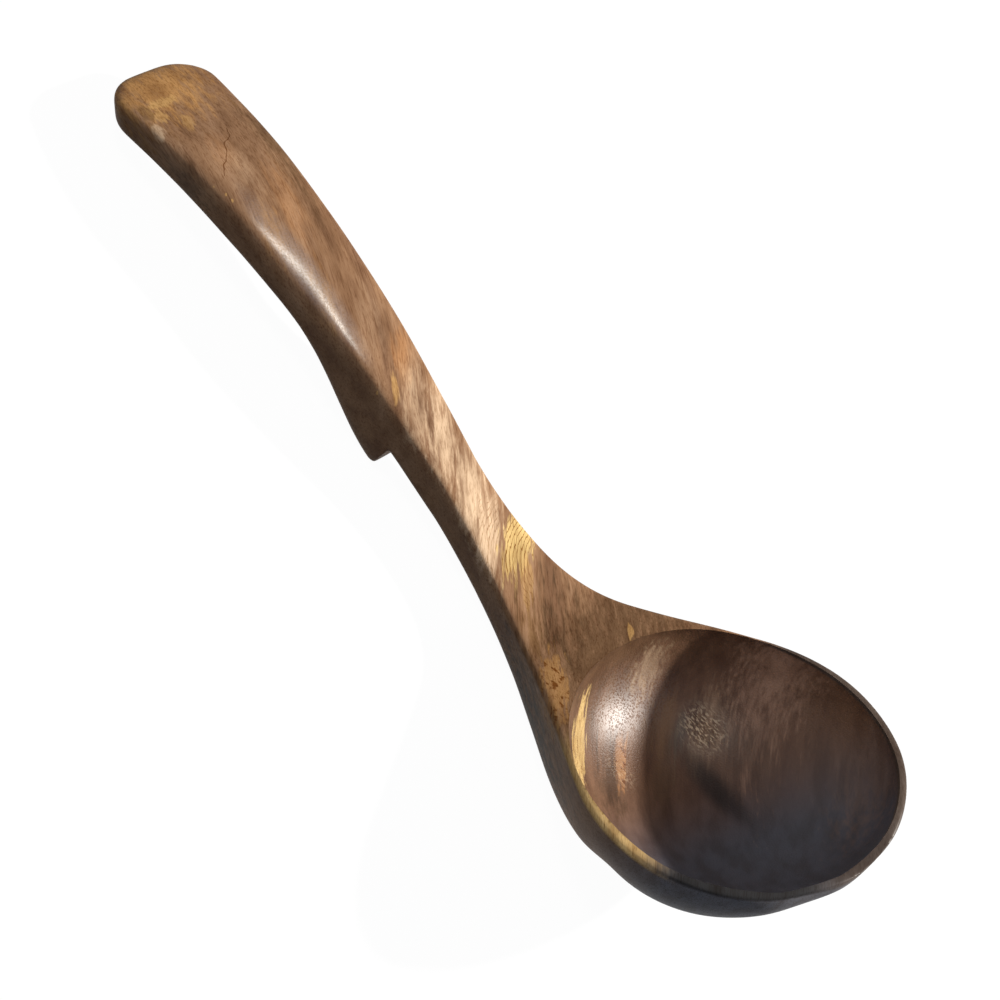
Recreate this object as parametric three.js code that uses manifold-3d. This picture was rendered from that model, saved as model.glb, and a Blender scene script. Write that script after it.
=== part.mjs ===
// Wooden ladle: a carved bowl, a rising handle, and a hook under the handle that catches the rim of a pot.
// Millimetres. The pieces are drawn as a carver lays them out: the rim is level at z = 0, the middle of the
// rim is the origin and the handle runs along +X. The last step sets the ladle down as it lies on a table.

import * as THREE from 'three';
import { mergeVertices } from 'three/addons/utils/BufferGeometryUtils.js';
import Module from 'manifold-3d';

// Bowl
const RIM_RADIUS = 48;
const FRONT_WALL = 2.4;
const SIDE_WALL = 3.2;
const RIM_EDGE = 2;
const BOWL_DEPTH = 45.5;
const FLOOR_THICKNESS = 11.5;
const KEEL_OFFSET = 8.7;
const CAVITY_BACK = 50;
const FOOT_FLAT = 0.8;

// Shoulder: the outline leaves the rim circle, sweeps in to the neck and starts to rise
const SHOULDER_START = 23.5;
const SHOULDER_SWEEP = 34;
const NECK_SWEEP = 41;
const LEVEL_END = 58;
const BELLY_END = 6;
const BAR_START = 69;

// Handle
const NECK_X = 116;
const NECK_WIDTH = 17;
const NECK_THICKNESS = 19.4;
const NECK_RUN = 15;
const HANDLE_END_X = 264.5;
const HANDLE_RISE = 99;
const END_WIDTH = 36.4;
const END_THICKNESS = 10.2;
const END_ROUND = 13.5;
const END_SLOPE = 0.11;
const SHOULDER_BEND = 49;
const GRIP_BEND = 121;
const GRIP_SWELL = 0.15;
const SOFT_ARRIS_X = 182;
const SOFT_ARRIS_REACH = 34;

// Pot hook: s runs along the underside of the handle from the step, depth is square to it
const HOOK_X = 137;
const HOOK_REACH = 42;
const HOOK_DEPTH = 13.5;
const HOOK_NOSE = 2.6;
const HOUSING_DEPTH = 3;
const TONGUE_LENGTH = 26;
const TONGUE_WIDTH = 7;
const TONGUE_HEIGHT = 5.5;

// Neck joint
const NECK_JOINT_X = 90;
const TENON_LENGTH = 24;
const TENON_CHEEK = 5;
const TENON_COVER = 4.5;
const TENON_CORNER = 1.5;
const GLUE_GAP = 0.3;

// How full the curves are: 2 is an ellipse, less is leaner, more is squarer
const KEEL_FULLNESS = 1.28;
const BELLY_FULLNESS = 2;
const CAVITY_FULLNESS = 2;
const END_FULLNESS = 2.15;
const CRISP = 6;
const SOFT = 3.2;
const RIM_SIDE = 14;
const RIM_TOP = 3;
const THINNING = 1.9;
const LEAST_EDGE_SHARE = 1 / 3;

// Mesh fineness
const RING_POINTS = 40;
const BOWL_STATIONS = 26;
const HANDLE_STATIONS = 32;
const END_STATIONS = 11;
const HOOK_STATIONS = 16;
const NOSE_STATIONS = 5;
const CAVITY_RINGS = 14;
const CAVITY_SIDES = 56;
const CURVE_SAMPLES = 400;
const CORNER_SEGMENTS = 3;
const WELD_DISTANCE = 1e-4;
const TILT_STEP = 1e-6;
const STEEPEST_TILT = 60;
const BEYOND = 400;

// Oiled wood, from the shaded bowl to the lit handle
const BOWL_COLOR = 0x4b362a;
const HANDLE_COLOR = 0x7a563c;
const HOOK_COLOR = 0x4a3d2c;
const ROUGHNESS = 0.45;

const { cos, sin, abs, sign, sqrt, min, max, PI, atan } = Math;
const wasm = await Module();
wasm.setup();

// Solids

function solid(geometry) {
  const plain = geometry.index ? geometry.toNonIndexed() : geometry;
  plain.deleteAttribute('normal');
  plain.deleteAttribute('uv');
  const welded = mergeVertices(plain, WELD_DISTANCE);
  return new wasm.Manifold(new wasm.Mesh({
    numProp: 3,
    vertProperties: new Float32Array(welded.attributes.position.array),
    triVerts: new Uint32Array(welded.index.array),
  }));
}

function piece(name, body, color) {
  const { vertProperties, triVerts } = body.getMesh();
  const geometry = new THREE.BufferGeometry();
  geometry.setAttribute('position', new THREE.BufferAttribute(new Float32Array(vertProperties), 3));
  geometry.setIndex(new THREE.BufferAttribute(new Uint32Array(triVerts), 1));
  geometry.computeVertexNormals();
  const material = new THREE.MeshStandardMaterial({ color, roughness: ROUGHNESS, metalness: 0 });
  const mesh = new THREE.Mesh(geometry, material);
  mesh.name = name;
  return mesh;
}

// A closed skin over rings of equal point count, each end closed by a fan to its own tip.
function loft(rings, firstTip, lastTip) {
  const count = rings[0].length;
  const points = [...rings.flat(), firstTip, lastTip];
  const first = points.length - 2;
  const last = points.length - 1;
  const triangles = [];
  for (let j = 0; j < count; j += 1) {
    const k = (j + 1) % count;
    triangles.push(first, k, j);
    for (let i = 0; i + 1 < rings.length; i += 1) {
      const here = i * count;
      const next = here + count;
      triangles.push(here + j, here + k, next + j, next + j, here + k, next + k);
    }
    const tail = (rings.length - 1) * count;
    triangles.push(last, tail + j, tail + k);
  }
  const geometry = new THREE.BufferGeometry().setFromPoints(points);
  geometry.setIndex(triangles);
  return geometry;
}

// A block from low to high, each an [x, y, z] in the frame that the matrix places.
function block(low, high, matrix) {
  const size = high.map((value, axis) => value - low[axis]);
  const geometry = new THREE.BoxGeometry(...size);
  geometry.translate(...high.map((value, axis) => (value + low[axis]) / 2));
  return solid(geometry.applyMatrix4(matrix));
}

// Curves along the ladle

const clamp01 = (value) => min(max(value, 0), 1);
const smoothstep = (low, high, x) => THREE.MathUtils.smoothstep(x, low, high);
const blend = THREE.MathUtils.lerp;

// A Bezier curve read as height over x.
function heightCurve(...controls) {
  const curve = new THREE.CubicBezierCurve(...controls.map(([x, y]) => new THREE.Vector2(x, y)));
  const samples = Array.from({ length: CURVE_SAMPLES + 1 }, (_, i) => curve.getPoint(i / CURVE_SAMPLES));
  return (x) => {
    const i = max(1, samples.findIndex((p) => p.x >= x));
    const [a, b] = [samples[i - 1], samples[i]];
    return blend(a.y, b.y, clamp01((x - a.x) / (b.x - a.x)));
  };
}

const roundEndX = HANDLE_END_X - END_ROUND;
const neckHalf = NECK_WIDTH / 2;
const endHalf = END_WIDTH / 2;
const rimHalfAt = (x) => sqrt(max(RIM_RADIUS ** 2 - x ** 2, 0));
const shoulderHalf = rimHalfAt(SHOULDER_START);
const shoulderSlope = -SHOULDER_START / shoulderHalf;

const shoulderOutline = heightCurve(
  [SHOULDER_START, shoulderHalf],
  [SHOULDER_START + SHOULDER_SWEEP, shoulderHalf + SHOULDER_SWEEP * shoulderSlope],
  [NECK_X - NECK_SWEEP, neckHalf],
  [NECK_X, neckHalf],
);

const handleTop = heightCurve(
  [LEVEL_END, 0],
  [LEVEL_END + SHOULDER_BEND, 0],
  [HANDLE_END_X - GRIP_BEND, HANDLE_RISE - GRIP_BEND * END_SLOPE],
  [HANDLE_END_X, HANDLE_RISE],
);

// Half the width seen from above: rim circle, pear-shaped shoulder, widening grip, rounded end.
function halfWidth(x) {
  if (x < SHOULDER_START) return rimHalfAt(x);
  if (x < NECK_X) return shoulderOutline(x);
  const along = clamp01((x - NECK_X) / (roundEndX - NECK_X));
  const grip = blend(neckHalf, endHalf, along * (1 + GRIP_SWELL * (1 - along ** 2)));
  const past = clamp01((x - roundEndX) / END_ROUND);
  return grip * (1 - past ** END_FULLNESS) ** (1 / END_FULLNESS);
}

const topHeight = (x) => (x < LEVEL_END ? 0 : handleTop(x));

function handleThickness(x) {
  const along = clamp01((x - NECK_X) / (HANDLE_END_X - NECK_X));
  return blend(NECK_THICKNESS, END_THICKNESS, along ** THINNING);
}

const handleUnder = (x) => topHeight(x) - handleThickness(x);

// Underside on the centre line: a raked front, the deepest point, then a sweep up into the neck.
const sweepEndX = NECK_X - NECK_RUN;
const sweepEndSlope = handleUnder(sweepEndX + 1) - handleUnder(sweepEndX);

function keelHeight(x) {
  if (x >= sweepEndX) return handleUnder(x);
  if (x <= KEEL_OFFSET) {
    const forward = (KEEL_OFFSET - x) / (KEEL_OFFSET + RIM_RADIUS);
    return -BOWL_DEPTH * max(1 - forward ** 2, 0) ** (1 / KEEL_FULLNESS);
  }
  const span = sweepEndX - KEEL_OFFSET;
  const t = (x - KEEL_OFFSET) / span;
  const rise = t * t * (3 - 2 * t);
  return blend(-BOWL_DEPTH, handleUnder(sweepEndX), rise) + (t ** 3 - t ** 2) * span * sweepEndSlope;
}

// Cross sections

// One quarter curve of a section: power 2 is round, higher powers have a tighter corner.
const ease = (value, power) => sign(value) * abs(value) ** (2 / power);

// The section at x: a flat rim over a round belly at the bowl, a squared bar with eased edges on the handle.
function section(x) {
  const half = halfWidth(x);
  const height = topHeight(x) - keelHeight(x);
  const past = clamp01((x - roundEndX) / END_ROUND);
  const tipRound = (1 - past ** CRISP) ** (1 / RIM_TOP);
  const handleTopPart = smoothstep(LEVEL_END, NECK_X, x);
  const handleLowPart = smoothstep(BELLY_END, BAR_START, x);
  const upper = blend(min(RIM_EDGE, height * LEAST_EDGE_SHARE), height / 2, handleTopPart);
  const middle = topHeight(x) - upper;
  const arris = blend(CRISP, SOFT, Math.exp(-(((x - SOFT_ARRIS_X) / SOFT_ARRIS_REACH) ** 2)));
  const ring = [];
  for (let j = 0; j < RING_POINTS; j += 1) {
    const angle = (2 * PI * j) / RING_POINTS;
    const above = sin(angle) >= 0;
    const sidePower = above ? blend(RIM_SIDE, arris, handleTopPart) : blend(2, CRISP, handleLowPart);
    const levelPower = above
      ? blend(RIM_TOP, arris, handleTopPart)
      : blend(BELLY_FULLNESS, CRISP, handleLowPart);
    const y = half * ease(cos(angle), sidePower);
    const z = middle + (above ? upper : height - upper) * tipRound * ease(sin(angle), levelPower);
    ring.push(new THREE.Vector3(x, y, z));
  }
  return ring;
}

// The whole ladle as one carved form, without its hollow and its hook.
function carvedForm() {
  const stations = [];
  for (let i = 1; i <= BOWL_STATIONS; i += 1) {
    const turn = (PI / 2) * (i / BOWL_STATIONS);
    stations.push(-RIM_RADIUS + (RIM_RADIUS + LEVEL_END) * (1 - cos(turn)));
  }
  for (let i = 1; i <= HANDLE_STATIONS; i += 1) {
    stations.push(blend(LEVEL_END, roundEndX, i / HANDLE_STATIONS));
  }
  for (let i = 1; i < END_STATIONS; i += 1) {
    stations.push(roundEndX + END_ROUND * sin((PI / 2) * (i / END_STATIONS)));
  }
  const tipHeight = topHeight(HANDLE_END_X) - END_THICKNESS / 2;
  const front = new THREE.Vector3(-RIM_RADIUS, 0, 0);
  const end = new THREE.Vector3(HANDLE_END_X, 0, tipHeight);
  return solid(loft(stations.map(section), front, end));
}

// The hollow: a turned form, drawn out to an oval and leaned towards the handle as it deepens.
function bowlHollow() {
  const depth = BOWL_DEPTH - FLOOR_THICKNESS;
  const front = RIM_RADIUS - FRONT_WALL;
  const side = RIM_RADIUS - SIDE_WALL;
  const halfLength = (CAVITY_BACK + front) / 2;
  const middle = (CAVITY_BACK - front) / 2;
  const profile = [];
  for (let i = 0; i <= CAVITY_RINGS; i += 1) {
    const radius = sin((PI / 2) * (i / CAVITY_RINGS));
    profile.push(new THREE.Vector2(radius, -depth * (1 - radius ** 2) ** (1 / CAVITY_FULLNESS)));
  }
  profile.push(new THREE.Vector2(1, RIM_RADIUS), new THREE.Vector2(0, RIM_RADIUS));
  const geometry = new THREE.LatheGeometry(profile, CAVITY_SIDES);
  geometry.rotateX(PI / 2);
  const place = geometry.attributes.position;
  for (let i = 0; i < place.count; i += 1) {
    const deep = clamp01(-place.getZ(i) / depth);
    place.setX(i, place.getX(i) * halfLength + blend(middle, KEEL_OFFSET, deep));
    place.setY(i, place.getY(i) * side);
  }
  return solid(geometry);
}

// Neck joint: a tenon on the handle in a mortise in the shoulder, square to the neck

const neckMiddle = (x) => (topHeight(x) + keelHeight(x)) / 2;
const neckAngle = atan(neckMiddle(NECK_JOINT_X + 1) - neckMiddle(NECK_JOINT_X));

// x runs across the neck, y up through it and z along it towards the handle end.
const neckFrame = new THREE.Matrix4().makeBasis(
  new THREE.Vector3(0, 1, 0),
  new THREE.Vector3(-sin(neckAngle), 0, cos(neckAngle)),
  new THREE.Vector3(cos(neckAngle), 0, sin(neckAngle)),
).setPosition(NECK_JOINT_X, 0, neckMiddle(NECK_JOINT_X));

const neckHeight = (topHeight(NECK_JOINT_X) - keelHeight(NECK_JOINT_X)) * cos(neckAngle);
const tenonWidth = 2 * (halfWidth(NECK_JOINT_X) - TENON_CHEEK);
const tenonHeight = neckHeight - 2 * TENON_COVER;

// A bar with rounded corners along the neck, grown on every side by the clearance.
function tenonBar(clearance, root) {
  const across = tenonWidth / 2 + clearance;
  const up = tenonHeight / 2 + clearance;
  const corner = TENON_CORNER + clearance;
  const outline = new THREE.Shape();
  outline.absarc(across - corner, up - corner, corner, 0, PI / 2);
  outline.absarc(corner - across, up - corner, corner, PI / 2, PI);
  outline.absarc(corner - across, corner - up, corner, PI, 1.5 * PI);
  outline.absarc(across - corner, corner - up, corner, 1.5 * PI, 2 * PI);
  const depth = TENON_LENGTH + clearance + root;
  const settings = { depth, bevelEnabled: false, curveSegments: CORNER_SEGMENTS };
  const bar = new THREE.ExtrudeGeometry(outline, settings);
  bar.translate(0, 0, root - depth);
  return solid(bar.applyMatrix4(neckFrame));
}

const beyondNeck = (from) => block([-BEYOND, -BEYOND, from], [BEYOND, BEYOND, BEYOND], neckFrame);

// Pot hook

const hookRise = keelHeight(HOOK_X + HOOK_REACH) - keelHeight(HOOK_X);
const hookAngle = atan(hookRise / HOOK_REACH);
const hookLength = HOOK_REACH / cos(hookAngle);

// x runs along the underside from the step, z stands square to it, into the handle.
const hookFrame = new THREE.Matrix4().makeRotationY(-hookAngle).setPosition(HOOK_X, 0, keelHeight(HOOK_X));

// How far the hook stands below the underside: a rounded nose at the step, then a long taper.
function hookDepth(s) {
  const nose = HOOK_NOSE - sqrt(max(HOOK_NOSE ** 2 - max(HOOK_NOSE - s, 0) ** 2, 0));
  const fade = smoothstep(HOOK_NOSE, hookLength, s);
  return HOOK_DEPTH * (1 - fade) - nose;
}

const hookX = (s) => HOOK_X + s * cos(hookAngle);

// How far the handle's own underside bows up from the straight line that the hook's frame follows.
function underBow(s) {
  const straight = keelHeight(HOOK_X) + s * sin(hookAngle);
  return (keelHeight(hookX(s)) - straight) * cos(hookAngle);
}

// The lower half of the handle's section at s, drawn down by the depth of the hook.
function hookSection(s) {
  const halfThickness = (handleThickness(hookX(s)) * cos(hookAngle)) / 2;
  const middle = underBow(s) + halfThickness;
  const lower = hookDepth(s) + halfThickness;
  const ring = [];
  for (let j = 0; j < RING_POINTS; j += 1) {
    const angle = (2 * PI * j) / RING_POINTS;
    const [across, up] = [cos(angle), sin(angle)];
    const flat = 1 / max(abs(across), abs(up));
    const above = up >= 0;
    const point = above
      ? new THREE.Vector3(s, across * flat, middle + HOUSING_DEPTH * up * flat)
      : new THREE.Vector3(s, ease(across, CRISP), middle + lower * ease(up, CRISP));
    point.applyMatrix4(hookFrame);
    point.y *= halfWidth(point.x);
    ring.push(point);
  }
  return ring;
}

function hookBody() {
  const stations = [];
  for (let i = 0; i < NOSE_STATIONS; i += 1) {
    stations.push(HOOK_NOSE * (1 - cos((PI / 2) * (i / NOSE_STATIONS))));
  }
  for (let i = 0; i <= HOOK_STATIONS; i += 1) {
    stations.push(blend(HOOK_NOSE, hookLength, i / HOOK_STATIONS));
  }
  const step = new THREE.Vector3(0, 0, -hookDepth(0) / 2).applyMatrix4(hookFrame);
  const tail = new THREE.Vector3(hookLength, 0, HOUSING_DEPTH / 2).applyMatrix4(hookFrame);
  const seat = block([-BEYOND, -BEYOND, -BEYOND], [BEYOND, BEYOND, HOUSING_DEPTH], hookFrame);
  return solid(loft(stations.map(hookSection), step, tail)).intersect(seat);
}

// The tongue on top of the hook, grown on every side by the clearance.
function hookTongue(clearance) {
  const middle = hookLength / 2;
  const reach = TONGUE_LENGTH / 2 + clearance;
  const side = TONGUE_WIDTH / 2 + clearance;
  const top = HOUSING_DEPTH + TONGUE_HEIGHT + clearance;
  return block([middle - reach, -side, HOUSING_DEPTH / 2], [middle + reach, side, top], hookFrame);
}

function hookHousing() {
  const low = [-GLUE_GAP, -BEYOND, -BEYOND];
  const high = [hookLength + GLUE_GAP, BEYOND, HOUSING_DEPTH + GLUE_GAP];
  return block(low, high, hookFrame);
}

// Rest on a table: the bowl's foot touches it, and the hook's nose or the end of the handle

const underside = (x) => section(x)[(3 * RING_POINTS) / 4];
const footPoints = [];
const tailPoints = [];
for (let i = 0; i < CURVE_SAMPLES; i += 1) {
  const along = i / CURVE_SAMPLES;
  footPoints.push(underside(blend(-RIM_RADIUS, NECK_JOINT_X, along)));
  tailPoints.push(underside(blend(NECK_X, HANDLE_END_X, along)));
  const s = hookLength * along;
  tailPoints.push(new THREE.Vector3(s, 0, underBow(s) - hookDepth(s)).applyMatrix4(hookFrame));
}

const heightAt = (point, tilt) => point.z * cos(tilt) - point.x * sin(tilt);
const lowest = (points, tilt) => points.reduce((a, b) => (heightAt(b, tilt) < heightAt(a, tilt) ? b : a));

// Tip the ladle back until the tail is as low as the foot.
let restTilt = 0;
let tiltLimit = THREE.MathUtils.degToRad(STEEPEST_TILT);
while (tiltLimit - restTilt > TILT_STEP) {
  const tilt = (restTilt + tiltLimit) / 2;
  const foot = heightAt(lowest(footPoints, tilt), tilt) + FOOT_FLAT;
  if (heightAt(lowest(tailPoints, tilt), tilt) > foot) restTilt = tilt;
  else tiltLimit = tilt;
}

const footPoint = lowest(footPoints, restTilt);
const ladle = new THREE.Group();
ladle.name = 'ladle';
ladle.rotation.y = restTilt;
ladle.position.set(
  -footPoint.x * cos(restTilt) - footPoint.z * sin(restTilt),
  0,
  -heightAt(footPoint, restTilt) - FOOT_FLAT,
);
ladle.updateMatrix();
const belowTable = block([-BEYOND, -BEYOND, -BEYOND], [BEYOND, BEYOND, 0], ladle.matrix.clone().invert());

// Pieces

const form = carvedForm();

const bowl = form
  .subtract(beyondNeck(0))
  .subtract(bowlHollow())
  .subtract(tenonBar(GLUE_GAP, NECK_WIDTH))
  .subtract(belowTable);

const handle = form
  .intersect(beyondNeck(GLUE_GAP))
  .add(tenonBar(0, NECK_WIDTH / 2))
  .subtract(hookHousing())
  .subtract(hookTongue(GLUE_GAP));

const potHook = hookBody()
  .add(hookTongue(0))
  .subtract(belowTable);

ladle.add(
  piece('bowl', bowl, BOWL_COLOR),
  piece('handle', handle, HANDLE_COLOR),
  piece('pot_hook', potHook, HOOK_COLOR),
);

export default ladle;
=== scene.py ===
# %% [markdown]
# # A carved wooden ladle
# This lesson dresses a ladle that was drawn in CAD. The real one is hand carved: a round hollowed bowl, a
# pear-shaped shoulder, a handle that rises and bends over, and a small hook that hangs on the rim of a pot.
# Everything is in metres, in the frame of the CAD model, so each piece goes exactly where the CAD piece is.

# %% Load the CAD frame
import math
import bpy
import numpy as np
from mathutils import Matrix, Vector


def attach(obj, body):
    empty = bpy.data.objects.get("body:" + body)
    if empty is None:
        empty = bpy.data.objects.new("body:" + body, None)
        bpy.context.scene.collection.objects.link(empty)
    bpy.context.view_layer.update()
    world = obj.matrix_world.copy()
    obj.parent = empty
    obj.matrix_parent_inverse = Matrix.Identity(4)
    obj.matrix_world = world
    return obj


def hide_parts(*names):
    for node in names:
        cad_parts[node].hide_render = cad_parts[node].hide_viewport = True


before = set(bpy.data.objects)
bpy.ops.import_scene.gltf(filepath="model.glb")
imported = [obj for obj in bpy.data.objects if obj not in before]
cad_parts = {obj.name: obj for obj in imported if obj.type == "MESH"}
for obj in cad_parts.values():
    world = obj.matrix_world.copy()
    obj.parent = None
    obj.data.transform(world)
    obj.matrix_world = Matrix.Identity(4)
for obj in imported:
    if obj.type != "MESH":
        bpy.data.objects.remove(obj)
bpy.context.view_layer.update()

# %% [markdown]
# ## Camera
# The ladle lies on a table with its handle to the left, and the picture was taken from above and then
# turned. A camera could be aimed by a constraint, but a place and a turn are all that a still picture needs.

# %% Place the camera
CAMERA_PLACE = (0.01743, 0.28673, 0.44866)
CAMERA_TURN = (26.207, -24.052, -130.375)
LENS_MM, SENSOR_MM = 61.2, 36
CLIP_START = 0.01

camera_turn = [math.radians(angle) for angle in CAMERA_TURN]
bpy.ops.object.camera_add(location=CAMERA_PLACE, rotation=camera_turn)
camera = bpy.context.object
camera.name = "photo_camera"
camera.data.lens = LENS_MM
camera.data.sensor_width = SENSOR_MM
camera.data.clip_start = CLIP_START
bpy.context.scene.camera = camera
print("camera", camera.name, "lens", LENS_MM)

# %% [markdown]
# ## The carver's sizes
# A carver draws the ladle on the block with the rim level and the handle running along X, so the sizes here
# are in that carving frame: the middle of the rim is the origin. They are the sizes of the CAD pieces. At the
# end the finished form is tipped back to lie on the table, as the CAD model does.

# %% Sizes of the carved form, in metres
MM = 0.001
RIM_RADIUS, FRONT_WALL, SIDE_WALL, RIM_EDGE = 48 * MM, 2.4 * MM, 3.2 * MM, 2 * MM
BOWL_DEPTH, FLOOR_THICKNESS, KEEL_OFFSET, HOLLOW_BACK = 45.5 * MM, 11.5 * MM, 8.7 * MM, 50 * MM
SHOULDER_START, SHOULDER_SWEEP, NECK_SWEEP = 23.5 * MM, 34 * MM, 41 * MM
LEVEL_END, BELLY_END, BAR_START = 58 * MM, 6 * MM, 69 * MM
NECK_X, NECK_WIDTH, NECK_THICKNESS, NECK_RUN = 116 * MM, 17 * MM, 19.4 * MM, 15 * MM
HANDLE_END_X, HANDLE_RISE, END_WIDTH = 264.5 * MM, 99 * MM, 36.4 * MM
END_THICKNESS, END_ROUND, END_SLOPE = 10.2 * MM, 13.5 * MM, 0.11
SHOULDER_BEND, GRIP_BEND, GRIP_SWELL = 49 * MM, 121 * MM, 0.15
SOFT_ARRIS_X, SOFT_ARRIS_REACH = 178 * MM, 32 * MM
KEEL_FULLNESS, BELLY_FULLNESS, HOLLOW_FULLNESS = 1.28, 2, 2
NEAR_END_FULLNESS, FAR_END_FULLNESS = 2.3, 1.95
CRISP, NEAR_SOFT, FAR_SOFT, RIM_SIDE, RIM_TOP, THINNING = 6, 2.2, 4.5, 14, 3, 1.9
REST_TILT = 27.891
REST_PLACE = (-32.04 * MM, 0, 52.8815 * MM)

rest_matrix = Matrix.Translation(REST_PLACE) @ Matrix.Rotation(math.radians(REST_TILT), 4, "Y")
print("ladle is", round((HANDLE_END_X + RIM_RADIUS) / MM), "mm long in the carving frame")


# %% [markdown]
# ## Curves along the ladle
# Four curves shape the whole form: half its width seen from above, the height of its top, the thickness of
# the handle, and the keel under the bowl. Each takes a distance along the ladle. numpy works on all the
# points of the mesh at once, which keeps a fine mesh quick.

# %% Outline, top and keel as functions of x
def smooth_share(low, high, x):
    share = np.clip((x - low) / (high - low), 0, 1)
    return share * share * (3 - 2 * share)


def mix(a, b, share):
    return a + (b - a) * share


def bezier_height(start, leave, arrive, end, samples=400):
    t = np.linspace(0, 1, samples + 1)[:, None]
    start, leave, arrive, end = (np.array(point) for point in (start, leave, arrive, end))
    curve = start * (1 - t) ** 3 + 3 * leave * t * (1 - t) ** 2 + 3 * arrive * t * t * (1 - t) + end * t ** 3
    return lambda x: np.interp(x, curve[:, 0], curve[:, 1])


shoulder_half = math.sqrt(RIM_RADIUS ** 2 - SHOULDER_START ** 2)
shoulder_slope = -SHOULDER_START / shoulder_half
neck_half = NECK_WIDTH / 2
round_end_x = HANDLE_END_X - END_ROUND
sweep_end_x = NECK_X - NECK_RUN

shoulder_outline = bezier_height(
    (SHOULDER_START, shoulder_half),
    (SHOULDER_START + SHOULDER_SWEEP, shoulder_half + SHOULDER_SWEEP * shoulder_slope),
    (NECK_X - NECK_SWEEP, neck_half),
    (NECK_X, neck_half),
)
handle_top = bezier_height(
    (LEVEL_END, 0),
    (LEVEL_END + SHOULDER_BEND, 0),
    (HANDLE_END_X - GRIP_BEND, HANDLE_RISE - GRIP_BEND * END_SLOPE),
    (HANDLE_END_X, HANDLE_RISE),
)


def half_width(x, end_fullness=NEAR_END_FULLNESS):
    rim = np.sqrt(np.maximum(RIM_RADIUS ** 2 - x ** 2, 0))
    along = np.clip((x - NECK_X) / (round_end_x - NECK_X), 0, 1)
    grip = mix(neck_half, END_WIDTH / 2, along * (1 + GRIP_SWELL * (1 - along ** 2)))
    past = np.clip((x - round_end_x) / END_ROUND, 0, 1)
    grip = grip * (1 - past ** end_fullness) ** (1 / end_fullness)
    return np.where(x < SHOULDER_START, rim, np.where(x < NECK_X, shoulder_outline(x), grip))


def top_height(x):
    return np.where(x < LEVEL_END, 0, handle_top(x))


def handle_thickness(x):
    along = np.clip((x - NECK_X) / (HANDLE_END_X - NECK_X), 0, 1)
    return mix(NECK_THICKNESS, END_THICKNESS, along ** THINNING)


def handle_under(x):
    return top_height(x) - handle_thickness(x)


def keel_height(x):
    forward = np.clip((KEEL_OFFSET - x) / (KEEL_OFFSET + RIM_RADIUS), 0, 1)
    front = -BOWL_DEPTH * (1 - forward ** 2) ** (1 / KEEL_FULLNESS)
    span = sweep_end_x - KEEL_OFFSET
    t = np.clip((x - KEEL_OFFSET) / span, 0, 1)
    end_height = handle_under(np.array(sweep_end_x))
    end_slope = (handle_under(np.array(sweep_end_x + MM)) - end_height) / MM
    sweep = mix(-BOWL_DEPTH, end_height, t * t * (3 - 2 * t)) + (t ** 3 - t ** 2) * span * end_slope
    return np.where(x <= KEEL_OFFSET, front, np.where(x < sweep_end_x, sweep, handle_under(x)))


print("neck is", round(2 * float(half_width(np.array(NECK_X))) / MM, 1), "mm wide")


# %% [markdown]
# ## Working like a carver
# A few small helpers stand for the bench tools. Operators act on all that is selected, so each helper starts
# by clearing the selection. A cut is a Boolean modifier that is applied at once, and its cutter is thrown
# away. A round blank lies along X, one unit long and one unit in radius, ringed so finely that it can be
# carved by moving its points. The points nearest its axis are the middles of its two ends.

# %% Bench tools
WELD_DISTANCE, LENGTHWISE, MIDDLE_RADIUS = 1e-6, 0.9, 0.5


def pick(piece):
    bpy.ops.object.select_all(action="DESELECT")
    piece.select_set(True)
    bpy.context.view_layer.objects.active = piece


def apply_modifier(piece, kind, **settings):
    pick(piece)
    modifier = piece.modifiers.new(kind.lower(), kind)
    for name, value in settings.items():
        setattr(modifier, name, value)
    bpy.ops.object.modifier_apply(modifier=modifier.name)


def cut(piece, operation, cutter):
    apply_modifier(piece, "BOOLEAN", operation=operation, object=cutter, solver="MANIFOLD")
    bpy.data.objects.remove(cutter)


def points_of(piece):
    flat = np.empty(len(piece.data.vertices) * 3)
    piece.data.vertices.foreach_get("co", flat)
    return flat.reshape(-1, 3)


def set_points(piece, points):
    piece.data.vertices.foreach_set("co", np.ascontiguousarray(points).ravel())
    piece.data.update()


def split_lengthwise(piece, cuts):
    pick(piece)
    points = points_of(piece)
    for edge in piece.data.edges:
        run = points[edge.vertices[1]] - points[edge.vertices[0]]
        edge.select = bool(abs(run[0]) > LENGTHWISE * np.linalg.norm(run))
    for part in (piece.data.vertices, piece.data.polygons):
        part.foreach_set("select", [False] * len(part))
    bpy.ops.object.mode_set(mode="EDIT")
    bpy.ops.mesh.select_mode(type="EDGE")
    bpy.ops.mesh.subdivide(number_cuts=cuts)
    bpy.ops.object.mode_set(mode="OBJECT")


def weld(piece):
    pick(piece)
    bpy.ops.object.mode_set(mode="EDIT")
    bpy.ops.mesh.select_all(action="SELECT")
    bpy.ops.mesh.remove_doubles(threshold=WELD_DISTANCE)
    bpy.ops.mesh.normals_make_consistent(inside=False)
    bpy.ops.object.mode_set(mode="OBJECT")


def round_blank(name, sides, cuts):
    bpy.ops.object.select_all(action="DESELECT")
    bpy.ops.mesh.primitive_cylinder_add(
        vertices=sides, radius=1, depth=1, end_fill_type="TRIFAN", rotation=(0, math.radians(90), 0))
    blank = bpy.context.object
    blank.name = name
    bpy.ops.object.transform_apply(location=True, rotation=True, scale=True)
    for count in cuts:
        split_lengthwise(blank, count)
    return blank


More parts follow.
